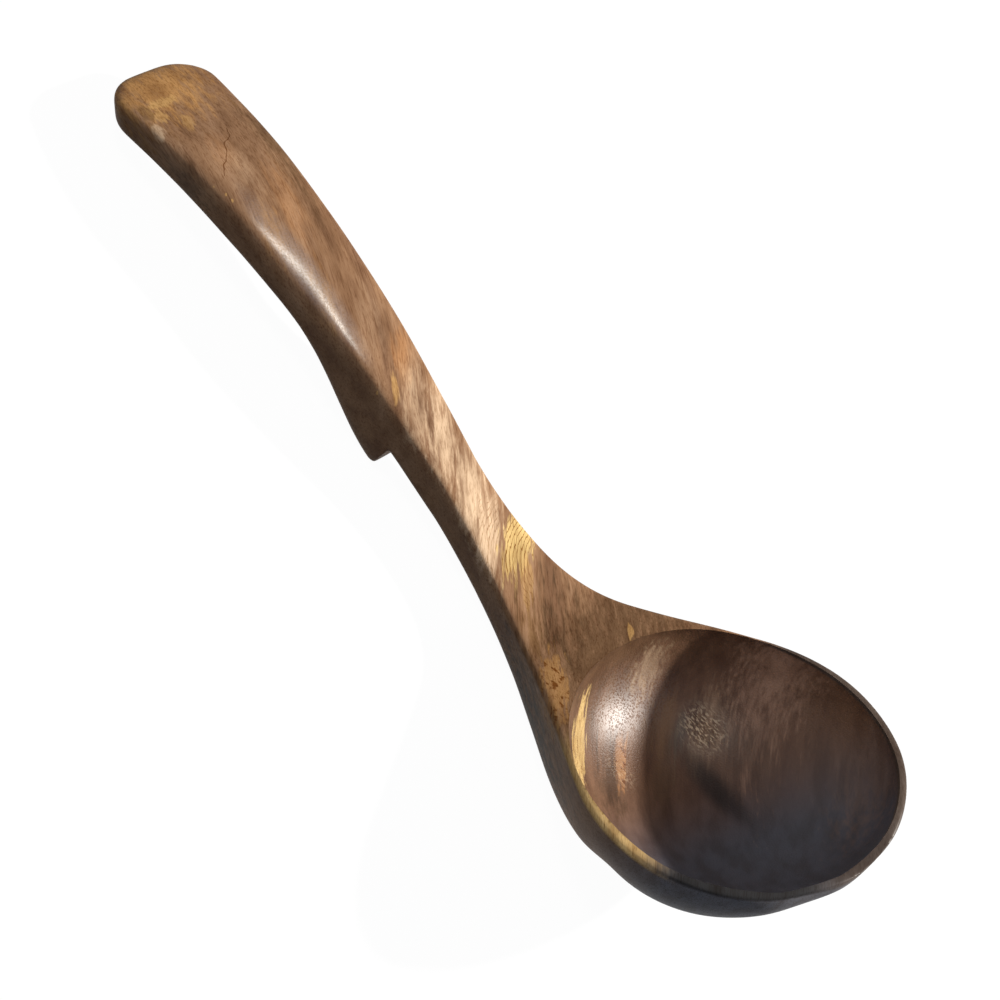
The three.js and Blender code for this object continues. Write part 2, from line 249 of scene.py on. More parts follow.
# %% [markdown]
# ## The carved form
# The bowl's outside, the shoulder and the handle are one flowing surface, so they are carved from one blank.
# The blank is a cylinder that is cut into rings. Each ring becomes the cross section at its place: a flat rim
# over a round belly at the bowl, and a squared bar with eased edges along the handle. A section is a rounded
# rectangle whose power says how tight its corners are: 2 is an ellipse and 6 is nearly square. The near edge
# of the grip is worn rounder than the far one, and the far corner of its end is rounder than the near one.

# %% Carve the blank
FORM_SIDES = 200
FORM_CUTS = (15, 19)
BOWL_SHARE, END_SHARE = 0.5, 0.06


def rounded(value, power):
    return np.sign(value) * np.abs(value) ** (2 / power)


def station(share):
    in_bowl = np.clip(share / BOWL_SHARE, 0, 1)
    in_end = np.clip((share - 1 + END_SHARE) / END_SHARE, 0, 1)
    bowl = mix(-RIM_RADIUS, LEVEL_END, 1 - np.cos(np.pi / 2 * in_bowl))
    handle = mix(LEVEL_END, round_end_x, (share - BOWL_SHARE) / (1 - BOWL_SHARE - END_SHARE))
    end = round_end_x + END_ROUND * np.sin(np.pi / 2 * in_end)
    return np.where(share < BOWL_SHARE, bowl, np.where(share < 1 - END_SHARE, handle, end))


def carve_form(blank):
    along, across, up = points_of(blank).T
    x = station(np.clip(along + 0.5, 0, 1))
    turn = np.arctan2(up, across)
    middle_fan = np.hypot(across, up) < MIDDLE_RADIUS
    half = half_width(x, np.where(across > 0, NEAR_END_FULLNESS, FAR_END_FULLNESS))
    height = top_height(x) - keel_height(x)
    past = np.clip((x - round_end_x) / END_ROUND, 0, 1)
    tip = (1 - past ** CRISP) ** (1 / RIM_TOP)
    top_part = smooth_share(LEVEL_END, NECK_X, x)
    low_part = smooth_share(BELLY_END, BAR_START, x)
    upper = mix(np.minimum(RIM_EDGE, height / 3), height / 2, top_part)
    worn = np.where(across > 0, NEAR_SOFT, FAR_SOFT)
    arris = mix(CRISP, worn, np.exp(-((x - SOFT_ARRIS_X) / SOFT_ARRIS_REACH) ** 2))
    above = np.sin(turn) >= 0
    side = np.where(above, mix(RIM_SIDE, arris, top_part), mix(2, CRISP, low_part))
    level = np.where(above, mix(RIM_TOP, arris, top_part), mix(BELLY_FULLNESS, CRISP, low_part))
    y = half * rounded(np.cos(turn), side)
    z = top_height(x) - upper + np.where(above, upper, height - upper) * tip * rounded(np.sin(turn), level)
    y = np.where(middle_fan, 0, y)
    z = np.where(middle_fan, top_height(x) - upper, z)
    set_points(blank, np.stack([x, y, z], axis=1))


form = round_blank("carved_form", FORM_SIDES, FORM_CUTS)
carve_form(form)
weld(form)
print("carved form has", len(form.data.vertices), "points")

# %% [markdown]
# ## The pot hook
# The hook is a wedge under the handle: a square step at the front, a small rounded nose, then a long taper.
# It is as wide as the handle above it. It is carved from a blank too, and joined to the form for now, so that
# the sanding that comes next runs over both.

# %% Carve the hook
HOOK_X, HOOK_REACH, HOOK_DEPTH, HOOK_NOSE = 137 * MM, 42 * MM, 13.5 * MM, 2.6 * MM
HOUSING_DEPTH = 3 * MM
HOOK_SIDES, HOOK_CUTS = 80, (9, 11)
HOOK_CROWDING, HOOK_OVERLAP = 1.6, 0.2

hook_low = float(keel_height(np.array(HOOK_X)))
hook_angle = math.atan((float(keel_height(np.array(HOOK_X + HOOK_REACH))) - hook_low) / HOOK_REACH)
hook_length = HOOK_REACH / math.cos(hook_angle)
hook_matrix = Matrix.Translation((HOOK_X, 0, hook_low)) @ Matrix.Rotation(-hook_angle, 4, "Y")


def hook_depth(s):
    nose = HOOK_NOSE - np.sqrt(np.maximum(HOOK_NOSE ** 2 - np.maximum(HOOK_NOSE - s, 0) ** 2, 0))
    return HOOK_DEPTH * (1 - smooth_share(HOOK_NOSE, hook_length, s)) - nose


# The hook's section is the lower half of the handle's own section, drawn down by the depth of the hook. Its
# rings crowd towards the step, and it overlaps the handle a little so that the two join.
def carve_hook(blank):
    along, across, up = points_of(blank).T
    s = hook_length * np.clip(along + 0.5, 0, 1) ** HOOK_CROWDING
    turn = np.arctan2(up, across)
    fan = np.hypot(across, up) < MIDDLE_RADIUS
    x = HOOK_X + s * math.cos(hook_angle)
    half_thickness = handle_thickness(x) * math.cos(hook_angle) / 2
    bow = (keel_height(x) - hook_low - s * math.sin(hook_angle)) * math.cos(hook_angle)
    above = np.sin(turn) >= 0
    reach = np.where(above, HOOK_OVERLAP * half_thickness, half_thickness + hook_depth(s))
    rise = reach * rounded(np.sin(turn), CRISP)
    local = np.stack([s, np.zeros_like(s), bow + half_thickness + rise, np.ones_like(s)], axis=1)
    local[fan, 2] = 0
    placed = local @ np.array(hook_matrix).T
    placed[:, 1] = np.where(fan, 0, rounded(np.cos(turn), CRISP)) * half_width(placed[:, 0])
    set_points(blank, placed[:, :3])


hook_form = round_blank("hook_form", HOOK_SIDES, HOOK_CUTS)
carve_hook(hook_form)
weld(hook_form)
cut(form, "UNION", hook_form)
print("hook stands", round(HOOK_DEPTH / MM, 1), "mm under the handle")

# %% [markdown]
# ## Sanding
# Sanding rounds every edge a little. Bevels would need the edges one by one, so a voxel remesh gives the form
# one even skin, and a few rounds of smoothing sand it. The rim of the real bowl isn't a true circle: it goes
# out at some places and in at others, so a small function pushes points near the rim. A push has the turn of
# its middle from the handle towards the near side and its spread, both in degrees, and how far it goes out.
# The hollow gets the same pushes later.

# %% Sand the outside
SKIN_STEP = 0.65 * MM
SANDING_ROUNDS, SANDING_STRENGTH = 3, 0.5
PUSH_START = RIM_RADIUS / 2
RIM_PUSHES = ((152, 9, -0.6 * MM), (166, 8, 0.4 * MM), (-132, 16, 0.4 * MM), (-70, 24, -0.8 * MM))


def push_rim(piece, pushes):
    points = points_of(piece)
    turn = np.degrees(np.arctan2(points[:, 1], points[:, 0]))
    radius = np.hypot(points[:, 0], points[:, 1])
    near_rim = smooth_share(PUSH_START, RIM_RADIUS, radius) * smooth_share(-BOWL_DEPTH, 0, points[:, 2])
    near_rim *= 1 - smooth_share(LEVEL_END, NECK_X, points[:, 0])
    push = sum(far * np.exp(-((turn - middle) / spread) ** 2) for middle, spread, far in pushes)
    points[:, :2] *= (1 + push * near_rim / np.maximum(radius, MM))[:, None]
    set_points(piece, points)


form.data.remesh_voxel_size = SKIN_STEP
pick(form)
bpy.ops.object.voxel_remesh()
apply_modifier(form, "SMOOTH", factor=SANDING_STRENGTH, iterations=SANDING_ROUNDS)
push_rim(form, RIM_PUSHES)
print("sanded skin has", len(form.data.polygons), "faces")

# %% [markdown]
# ## The hollow
# The bowl is hollowed with a bent gouge. The cutter for it starts as a ball: its lower half becomes a deep
# oval hollow that leans towards the handle, and its upper half is drawn up out of the way. The carver's
# hollow is a little askew, so the oval is turned by a few degrees, and it runs out towards the near side of
# the front, where the rim is thin. It is cut after the sanding, because its edge is crisp on the real bowl.
# The cutter's faces carry the second material slot, and the cut keeps it, so the hollow can have a finish of
# its own.

# %% Hollow the bowl
HOLLOW_SEGMENTS, HOLLOW_RINGS, HOLLOW_SLOT = 240, 120, 1
HOLLOW_SKEW, HOLLOW_SHIFT, ABOVE_BRIM = math.radians(9), -0.5 * MM, 1e-3
HOLLOW_PUSHES = ((110, 24, 2.2 * MM), (146, 18, 2 * MM))
hollow_depth = BOWL_DEPTH - FLOOR_THICKNESS
hollow_front = RIM_RADIUS - FRONT_WALL
hollow_half_length = (HOLLOW_BACK + hollow_front) / 2
hollow_half_width = RIM_RADIUS - SIDE_WALL
hollow_middle = (HOLLOW_BACK - hollow_front) / 2

bpy.ops.object.select_all(action="DESELECT")
bpy.ops.mesh.primitive_uv_sphere_add(segments=HOLLOW_SEGMENTS, ring_count=HOLLOW_RINGS, radius=1)
hollow = bpy.context.object
hollow.name = "hollow_cutter"
ball = points_of(hollow)
out = np.clip(np.hypot(ball[:, 0], ball[:, 1]), 0, 1)
sunk = np.where(ball[:, 2] < 0, (1 - out ** 2) ** (1 / HOLLOW_FULLNESS), 0)
lean = mix(hollow_middle, KEEL_OFFSET, sunk)
raised = np.where(ball[:, 2] > ABOVE_BRIM, BOWL_DEPTH * np.minimum(1, ball[:, 2] * HOLLOW_RINGS), 0)
long_way, wide_way = ball[:, 0] * hollow_half_length, ball[:, 1] * hollow_half_width
set_points(hollow, np.stack([
    long_way * math.cos(HOLLOW_SKEW) - wide_way * math.sin(HOLLOW_SKEW) + lean,
    long_way * math.sin(HOLLOW_SKEW) + wide_way * math.cos(HOLLOW_SKEW) + HOLLOW_SHIFT,
    raised - sunk * hollow_depth], axis=1))
push_rim(hollow, RIM_PUSHES + HOLLOW_PUSHES)
for piece in (form, hollow):
    piece.data.materials.append(None)
    piece.data.materials.append(None)
hollow.data.polygons.foreach_set("material_index", [HOLLOW_SLOT] * len(hollow.data.polygons))
cut(form, "DIFFERENCE", hollow)
hollowed = sum(face.material_index == HOLLOW_SLOT for face in form.data.polygons)
print("hollow is", round(hollow_depth / MM, 1), "mm deep and has", hollowed, "faces")

# %% [markdown]
# ## The carver's hand
# The form is tipped back to lie on the table. A Displace modifier with a soft cloud texture leaves the slow
# waves of hand work, and it takes off a little more than it adds.

# %% Leave the marks of the hand
HAND_WAVE = 0.32 * MM
HAND_WAVE_LENGTH = 26 * MM
HAND_WAVE_LEVEL = 0.62

form.data.transform(rest_matrix)
hand_texture = bpy.data.textures.new("hand_wave", "CLOUDS")
hand_texture.noise_scale = HAND_WAVE_LENGTH
hand_texture.noise_depth = 1
apply_modifier(form, "DISPLACE", texture=hand_texture, texture_coords="LOCAL", strength=HAND_WAVE,
               mid_level=HAND_WAVE_LEVEL)
print("carved skin has", len(form.data.polygons), "faces")

# %% [markdown]
# ## Three pieces of wood
# The foot is cut flat where it touches the table. The ladle is glued up from three pieces: the bowl with its
# shoulder, the handle, and the hook. Each could be carved by itself, but then their surfaces might not meet.
# The joints are so tight that they don't show, so the pieces are cut from the finished form along the joint
# planes.

# %% Cut the form into its pieces
NECK_JOINT_X = 90 * MM
FAR = 0.4


def block(low, high, matrix):
    bpy.ops.object.select_all(action="DESELECT")
    bpy.ops.mesh.primitive_cube_add(size=1)
    made = bpy.context.object
    size = [h - l for l, h in zip(low, high)]
    place = [(l + h) / 2 for l, h in zip(low, high)]
    made.data.transform(matrix @ Matrix.Translation(place) @ Matrix.Diagonal((*size, 1)))
    return made


def neck_middle(x):
    return float(top_height(np.array(x)) + keel_height(np.array(x))) / 2


neck_slope = math.atan2(neck_middle(NECK_JOINT_X + MM) - neck_middle(NECK_JOINT_X), MM)
neck_place = Matrix.Translation((NECK_JOINT_X, 0, neck_middle(NECK_JOINT_X)))
neck_matrix = rest_matrix @ neck_place @ Matrix.Rotation(-neck_slope, 4, "Y")
hook_row_matrix = rest_matrix @ hook_matrix


def copy_of(piece, name):
    pick(piece)
    bpy.ops.object.duplicate()
    made = bpy.context.object
    made.name = name
    return made


def below_table():
    return block((-FAR, -FAR, -FAR), (FAR, FAR, 0), Matrix.Identity(4))


def past_neck():
    return block((0, -FAR, -FAR), (FAR, FAR, FAR), neck_matrix)


def hook_block():
    return block((0, -FAR, -FAR), (hook_length, FAR, HOUSING_DEPTH), hook_row_matrix)


cut(form, "DIFFERENCE", below_table())
bowl = copy_of(form, "carved_bowl")
handle = copy_of(form, "carved_handle")
pot_hook = copy_of(form, "carved_pot_hook")
bpy.data.objects.remove(form)
cut(bowl, "DIFFERENCE", past_neck())
cut(handle, "INTERSECT", past_neck())
cut(handle, "DIFFERENCE", hook_block())
cut(pot_hook, "INTERSECT", hook_block())

EDGE_ANGLE = math.radians(40)
pieces = {"bowl": bowl, "handle": handle, "pot_hook": pot_hook}
for node, piece in pieces.items():
    pick(piece)
    bpy.ops.object.shade_smooth_by_angle(angle=EDGE_ANGLE)
    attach(piece, "root")
    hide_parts(node)
    print(piece.name, len(piece.data.polygons), "faces")

# %% [markdown]
# ## Node tools
# The wood is a solid texture: colour is worked out from the place in the block, so the grain runs through the
# ladle and over its edges as it does in real timber. These helpers keep the node code short. A shared effect
# becomes a node group with named sockets.

# %% Node helpers
def srgb(red, green, blue):
    def linear(value):
        share = value / 255
        return share / 12.92 if share <= 0.04045 else ((share + 0.055) / 1.055) ** 2.4
    return (linear(red), linear(green), linear(blue), 1)


def feed(tree, socket, value):
    if isinstance(value, bpy.types.NodeSocket):
        tree.links.new(value, socket)
    else:
        socket.default_value = value


def add_node(tree, kind, *values, **settings):
    node = tree.nodes.new("ShaderNode" + kind)
    for name, value in settings.items():
        setattr(node, name, value)
    for socket, value in zip(node.inputs, values):
        feed(tree, socket, value)
    return node


def calc(tree, operation, *values):
    return add_node(tree, "Math", *values, operation=operation).outputs[0]


def calc_vector(tree, operation, *values):
    node = add_node(tree, "VectorMath", *values, operation=operation)
    return node.outputs["Value" if operation in ("LENGTH", "DISTANCE", "DOT_PRODUCT") else "Vector"]


def noise(tree, place, detail=2, roughness=0.5):
    node = add_node(tree, "TexNoise")
    feed(tree, node.inputs["Vector"], place)
    node.inputs["Scale"].default_value = 1
    node.inputs["Detail"].default_value = detail
    node.inputs["Roughness"].default_value = roughness
    return node.outputs[0]


def stretched_noise(tree, place, lengths, detail=2, roughness=0.5):
    return noise(tree, calc_vector(tree, "DIVIDE", place, lengths), detail, roughness)


def ramp(tree, value, low, high):
    return add_node(tree, "MapRange", value, low, high, interpolation_type="SMOOTHSTEP").outputs[0]


def blend(tree, share, base, top, mode="MIX"):
    node = add_node(tree, "Mix", data_type="RGBA", blend_type=mode)
    feed(tree, node.inputs[0], share)
    feed(tree, node.inputs[6], base)
    feed(tree, node.inputs[7], top)
    return node.outputs[2]


def new_group(name, inputs, outputs):
    tree = bpy.data.node_groups.new(name, "ShaderNodeTree")
    for label, kind in inputs.items():
        tree.interface.new_socket(label, in_out="INPUT", socket_type="NodeSocket" + kind)
    for label, kind in outputs.items():
        tree.interface.new_socket(label, in_out="OUTPUT", socket_type="NodeSocket" + kind)
    return tree, tree.nodes.new("NodeGroupInput").outputs, tree.nodes.new("NodeGroupOutput").inputs


def place_group(tree, made, **values):
    node = tree.nodes.new("ShaderNodeGroup")
    node.node_tree = made
    for label, value in values.items():
        feed(tree, node.inputs[label], value)
    return node.outputs


# %% [markdown]
# ## The run of the fibres
# The block was cut beside a branch, so the fibres lie nearly along the handle at its end and swing round
# towards the near side of the bowl. The first group turns a place in metres into a place in millimetres whose
# first axis follows the fibres: the sideways drift of a fibre is taken away. A slow noise makes it wander.

# %% Fibre group
STRAIGHT_X = 210
FIBRE_SLOPE, FIBRE_TURN = 0.157, 0.0018
FIBRE_WANDER, WANDER_LENGTHS = 3, (40, 22, 22)
MM_PER_METRE = 1000


def fibre_drift(x):
    return (STRAIGHT_X - x) * (FIBRE_SLOPE + FIBRE_TURN * (STRAIGHT_X - x))


fibre_group, given, result = new_group(
    "Fibre Place", {"Place": "Vector"}, {"Fibre": "Vector", "Millimetres": "Vector"})
in_mm = calc_vector(fibre_group, "MULTIPLY", given["Place"], (MM_PER_METRE,) * 3)
apart = add_node(fibre_group, "SeparateXYZ", in_mm).outputs
from_straight = calc(fibre_group, "SUBTRACT", STRAIGHT_X, apart[0])
slope = calc(fibre_group, "MULTIPLY_ADD", from_straight, FIBRE_TURN, FIBRE_SLOPE)
wander = calc(fibre_group, "SUBTRACT", stretched_noise(fibre_group, in_mm, WANDER_LENGTHS, 1), 0.5)
drift = calc(fibre_group, "MULTIPLY", from_straight, slope)
straight_y = calc(fibre_group, "SUBTRACT", apart[1], drift)
straight_y = calc(fibre_group, "MULTIPLY_ADD", wander, FIBRE_WANDER, straight_y)
joined = add_node(fibre_group, "CombineXYZ", apart[0], straight_y, apart[2]).outputs[0]
feed(fibre_group, result["Fibre"], joined)
feed(fibre_group, result["Millimetres"], in_mm)
print("fibres drift", round(fibre_drift(0)), "mm sideways from the handle's end to the bowl")

# %% [markdown]
# ## Grain
# Several scales show in this timber: broad bands of darker heartwood, soft clouds, short dark strokes where
# pores are cut open along the fibres, and fine pores. A picture of planed wood would show seams where it is
# wrapped round the bowl, so each scale is noise that is stretched along the fibres. Lengths are in
# millimetres, and limits say where the noise starts to show and where it shows in full.

# %% Grain group
BAND_LENGTHS = (60, 8, 10)
CLOUD_LENGTHS = (16, 6, 6)
STROKE_LENGTHS, STROKE_LIMITS = (7, 0.5, 0.5), (0.44, 0.74)
PORE_LENGTHS, PORE_LIMITS = (2.2, 0.28, 0.28), (0.55, 0.8)
TORN_LENGTHS = (8, 1.6, 2.5)

grain_group, given, result = new_group(
    "Grain", {"Fibre": "Vector"},
    {"Band": "Float", "Cloud": "Float", "Stroke": "Float", "Pore": "Float", "Ragged": "Float"})
along_fibre = given["Fibre"]
bands = stretched_noise(grain_group, along_fibre, BAND_LENGTHS, detail=4, roughness=0.55)
clouds = stretched_noise(grain_group, along_fibre, CLOUD_LENGTHS, detail=3)
strokes = stretched_noise(grain_group, along_fibre, STROKE_LENGTHS, detail=3, roughness=0.6)
pores = stretched_noise(grain_group, along_fibre, PORE_LENGTHS, detail=1)
ragged = stretched_noise(grain_group, along_fibre, TORN_LENGTHS, detail=3, roughness=0.6)
feed(grain_group, result["Band"], bands)
feed(grain_group, result["Cloud"], clouds)
feed(grain_group, result["Stroke"], ramp(grain_group, strokes, *STROKE_LIMITS))
feed(grain_group, result["Pore"], ramp(grain_group, pores, *PORE_LIMITS))
feed(grain_group, result["Ragged"], calc(grain_group, "SUBTRACT", ragged, 0.5))
print("grain group has", len(grain_group.nodes), "nodes")

# %% [markdown]
# ## Sapwood
# Pale sapwood comes to the surface where the carver cut near the outside of the trunk, and the hollow is
# darker in places. Not every patch is wood colour: the dark patches on the near side are painted shade,
# where it faces away from the lamps, and some patches in the hollow and on the grip are painted light or
# shade, as the list notes. Colour could be painted on the mesh, but a patch that is worked out stays sharp
# on any mesh. Each patch is an ellipsoid that lies along the fibres, with a ragged edge. The list gives its
# middle on the ladle, its reach along, across and through the fibres, all in millimetres, then its colour,
# its strength, and how soft its edge is.

# %% Patch group
EDGE_RAGGED = 2


def closeness(tree, place, middle, reach):
    offset = calc_vector(tree, "SUBTRACT", place, middle)
    away = calc_vector(tree, "LENGTH", calc_vector(tree, "DIVIDE", offset, reach))
    return calc(tree, "SUBTRACT", 1, away)


patch_group, given, result = new_group(
    "Sapwood Patch",
    {"Fibre": "Vector", "Middle": "Vector", "Reach": "Vector", "Ragged": "Float", "Softness": "Float"},
    {"Mask": "Float"})
inside = closeness(patch_group, given["Fibre"], given["Middle"], given["Reach"])
torn = calc(patch_group, "MULTIPLY_ADD", given["Ragged"], EDGE_RAGGED, inside)
feed(patch_group, result["Mask"], ramp(patch_group, torn, 0, given["Softness"]))
print("patch group has", len(patch_group.nodes), "nodes")

# %% The list of patches
HONEY, GOLD, YELLOW = srgb(214, 162, 102), srgb(226, 180, 116), srgb(242, 208, 140)
PALE_TAN, TAN, ORANGE = srgb(244, 212, 176), srgb(206, 170, 136), srgb(194, 142, 96)
# The second and third colours on the next line are painted fill light for shaded walls of the hollow.
HAZEL, PAINTED_FILL_ROSY, PAINTED_FILL_RUSSET, UMBER = srgb(160, 120, 78), srgb(190, 150, 125), srgb(140, 116, 104), srgb(104, 77, 52)
# The last colour on the next line is a painted shade for the sides that face away from the lamps.
COCOA, OLIVE, PAINTED_SHADE_SLATE, PAINTED_SIDE_SHADE = srgb(88, 64, 46), srgb(92, 70, 47), srgb(84, 90, 86), srgb(52, 42, 30)
SOFT_EDGE, TORN_EDGE = 0.9, 0.42
DOT_REACH = (0.8, 0.5, 0.8)
PATCHES = (
    ("far edge", (205, -15, 29), (60, 6, 8), UMBER, 0.75, SOFT_EDGE),
    ("shoulder brown", (12, 0, 28), (44, 60, 20), UMBER, 0.66, SOFT_EDGE),
    # The three side patches are painted shade: they darken the near side of the grip, its end and the bowl.
    ("end side", (228, 22, 17), (26, 9, 13), PAINTED_SIDE_SHADE, 0.6, SOFT_EDGE),
    ("grip side", (197, 21, 22), (26, 9, 13), PAINTED_SIDE_SHADE, 0.6, SOFT_EDGE),
    ("near side", (-2, 36, 8), (60, 24, 24), PAINTED_SIDE_SHADE, 0.95, SOFT_EDGE),
    ("handle end", (238, 3, 21), (24, 24, 15), HONEY, 0.9, SOFT_EDGE),
    ("end streak", (231, 6, 22.7), (2.2, 6.5, 6), GOLD, 0.75, TORN_EDGE),
    ("end streak low", (226, 10.5, 24), (4, 2.6, 5), GOLD, 0.6, TORN_EDGE),
    ("end streak far", (220.5, 5, 26), (4.5, 2.4, 5), GOLD, 0.6, TORN_EDGE),
    ("end fleck", (221, 15, 25), (4, 1.8, 4), PALE_TAN, 0.6, TORN_EDGE),
    ("end knot", (229.5, 13.5, 23), (4, 2.5, 4), UMBER, 0.5, TORN_EDGE),
    ("crack field", (205, 3.5, 29.6), (12, 6, 7), ORANGE, 0.4, SOFT_EDGE),
    ("grip tan", (196, 3, 31), (14, 7, 7), TAN, 0.5, SOFT_EDGE),
    ("grip", (180, -2, 33), (24, 6, 7), ORANGE, 0.5, SOFT_EDGE),
    # The two grip edge patches are a painted warm highlight: they warm the wood under the polished near edge.
    ("grip edge", (172, 9.5, 33), (15, 5, 5), HONEY, 0.5, SOFT_EDGE),
    ("grip edge low", (148, 8, 33), (15, 5, 5), HONEY, 0.5, SOFT_EDGE),
    ("handle tan", (134, 0, 34), (16, 7, 7), TAN, 0.4, SOFT_EDGE),
    ("neck far", (122, -3.5, 31.6), (13, 5.5, 7), ORANGE, 0.8, SOFT_EDGE),
    ("neck fleck", (114, 4.7, 30.4), (6, 1.6, 4), GOLD, 0.7, TORN_EDGE),
    ("neck tan", (106, 2, 29), (20, 7, 8), PALE_TAN, 0.45, SOFT_EDGE),
    ("neck pale", (94, -1, 26.7), (22, 8, 8), PALE_TAN, 0.85, SOFT_EDGE),
    ("neck pale low", (74, 2, 24), (24, 9, 8), PALE_TAN, 0.95, SOFT_EDGE),
    ("curl pale", (60, 5, 21.5), (18, 9, 7), PALE_TAN, 0.95, SOFT_EDGE),
    ("curl", (55.5, -4.5, 20.7), (10, 9, 8), YELLOW, 0.95, TORN_EDGE),
    ("curl low", (44, 1, 20.2), (8, 3, 6), GOLD, 0.5, TORN_EDGE),
    ("shoulder near", (32, 11, 24), (17, 7, 8), HAZEL, 0.6, SOFT_EDGE),
    ("shoulder", (14, 20.5, 28.5), (13, 6.5, 8), HONEY, 0.6, TORN_EDGE),
    ("shoulder fleck", (13.5, -13, 28.7), (2.4, 1.4, 3), GOLD, 0.8, TORN_EDGE),
    ("hollow low", (-19, 16, 15), (18, 11, 10), COCOA, 0.9, SOFT_EDGE),
    ("hollow floor", (-30, 2, 14.6), (14, 8, 8), OLIVE, 0.5, SOFT_EDGE),
    # hollow middle is painted light on the edge of the window's shadow on the floor of the hollow.
    ("hollow middle", (-15, -13, 13.5), (12, 10, 9), HAZEL, 0.4, SOFT_EDGE),
    # hollow chatter is a painted highlight: a pale base under the ceiling lamp's glint on the chatter.
    ("hollow chatter", (-24, -23, 18), (13, 13, 11), TAN, 0.45, SOFT_EDGE),
    # hollow slate is a painted cool shade beside the chatter, at the edge of the window's shadow.
    ("hollow slate", (-20, -15.5, 14.5), (7, 6, 6), PAINTED_SHADE_SLATE, 0.4, SOFT_EDGE),
    ("hollow wall", (-4, 19.5, 18.5), (15, 5, 9), YELLOW, 0.75, TORN_EDGE),
    ("hollow wall low", (-17, 8.4, 12.8), (9, 3.6, 5), ORANGE, 0.6, TORN_EDGE),
    # hollow lit wall is a painted sheen: it lightens the back wall round the window's glint.
    ("hollow lit wall", (1.6, -16.7, 20.5), (16, 9, 10), PALE_TAN, 0.35, SOFT_EDGE),
    # The front and far wall patches are painted fill light on walls of the hollow that lie in shade.
    ("hollow front wall", (-62, -27, 58), (14, 19, 17), PAINTED_FILL_RUSSET, 0.5, SOFT_EDGE),
    ("hollow far wall", (-22, -42, 38), (30, 22, 26), PAINTED_FILL_ROSY, 0.8, SOFT_EDGE),
    # Four tiny gold dots lie on the grip and the neck.
    ("pit 1", (195.9, 14.7, 29.3), DOT_REACH, GOLD, 0.9, TORN_EDGE),
    ("pit 2", (191.6, 13.6, 30.3), DOT_REACH, GOLD, 0.9, TORN_EDGE),
    ("pit 3", (188.9, 13.3, 30.7), DOT_REACH, GOLD, 0.9, TORN_EDGE),
    ("pit 4", (115.7, 10.2, 28.7), DOT_REACH, GOLD, 0.9, TORN_EDGE),
)
print("wood has", len(PATCHES), "patches")

# %% [markdown]
# ## The bowl's own shades
# Some shades follow the bowl and not the fibres, so they are worked out in the carving frame, in which the
# rim lies level. Sapwood shows along the rim on the near side, and the front of the bowl is stained dark by
# years of soup. The stain's blue-grey tint is a painted cool reflection: of the room in the hollow, and of
# the white table on the outside of the belly. The rest of the rim is darkened too. Turns are in degrees,
# from the handle towards the near side, and run past half a turn where a shade goes on round the front.

# %% Bowl shade group
RIM_BAND_DEPTH, SAPWOOD_DEPTH = 2.2, 3.2
SAPWOOD_TURN, DARK_RIM_TURN = (46, 100), (102, 160)
BROWN_RIM_TURNS = ((160, 200), (-200, -62))
RIM_FADE, RIM_RAGGED = 10, 6
STAIN_MIDDLE, STAIN_REACH, STAIN_FADE = (-45, 18, -15), (75, 72, 60), 0.45


def nearness(tree, place, middle, reach, softness):
    return ramp(tree, closeness(tree, place, middle, reach), 0, softness)


bowl_group, given, result = new_group(
    "Bowl Shades", {"Millimetres": "Vector", "Ragged": "Float"},
    {"Sapwood": "Float", "Dark Rim": "Float", "Brown Rim": "Float", "Stain": "Float"})
rim_middle = [MM_PER_METRE * size for size in REST_PLACE]
centred = calc_vector(bowl_group, "SUBTRACT", given["Millimetres"], rim_middle)
level = add_node(bowl_group, "VectorRotate", rotation_type="Y_AXIS")
feed(bowl_group, level.inputs["Vector"], centred)
level.inputs["Angle"].default_value = -math.radians(REST_TILT)
bowl_place = level.outputs[0]
ahead, across, up = add_node(bowl_group, "SeparateXYZ", bowl_place).outputs
turn = calc(bowl_group, "ARCTAN2", across, ahead)
ragged_turn = calc(bowl_group, "MULTIPLY", given["Ragged"], RIM_RAGGED)
turn = calc(bowl_group, "MULTIPLY_ADD", turn, 180 / math.pi, ragged_turn)


def rim_between(first, last, depth):
    on_rim = ramp(bowl_group, up, -depth, -depth / 2)
    after = ramp(bowl_group, turn, first - RIM_FADE, first + RIM_FADE)
    before = ramp(bowl_group, turn, last + RIM_FADE, last - RIM_FADE)
    return calc(bowl_group, "MULTIPLY", on_rim, calc(bowl_group, "MULTIPLY", after, before))


feed(bowl_group, result["Sapwood"], rim_between(*SAPWOOD_TURN, SAPWOOD_DEPTH))
feed(bowl_group, result["Dark Rim"], rim_between(*DARK_RIM_TURN, RIM_BAND_DEPTH))
brown_rims = [rim_between(*turns, RIM_BAND_DEPTH) for turns in BROWN_RIM_TURNS]
feed(bowl_group, result["Brown Rim"], calc(bowl_group, "MAXIMUM", *brown_rims))
feed(bowl_group, result["Stain"], nearness(bowl_group, bowl_place, STAIN_MIDDLE, STAIN_REACH, STAIN_FADE))
print("bowl shade group has", len(bowl_group.nodes), "nodes")

# %% [markdown]
# ## Curl
# At the root of the neck the growth rings turn round a branch, and dark lines fan out in arcs. They are rings
# round an upright line through the knot. Other patches of sapwood have a figure of short dark flecks, or show
# the strokes of the grain. The table names the patches that have a figure, which one, and how strongly.

# %% Curl group
KNOT = (40, -14, 0)
RING_SPACING, RING_RAGGED, RING_LIMITS = 1.25, 1.5, (0.7, 1)
FLECK_LENGTHS, FLECK_LIMITS = (3.2, 1.3, 1.3), (0.52, 0.66)
FIGURED = {
    "curl pale": ("Line", 0.7), "curl": ("Line", 1), "curl low": ("Line", 0.6),
    "shoulder": ("Fleck", 1), "hollow wall": ("Stroke", 1), "hollow wall low": ("Fleck", 1),
}

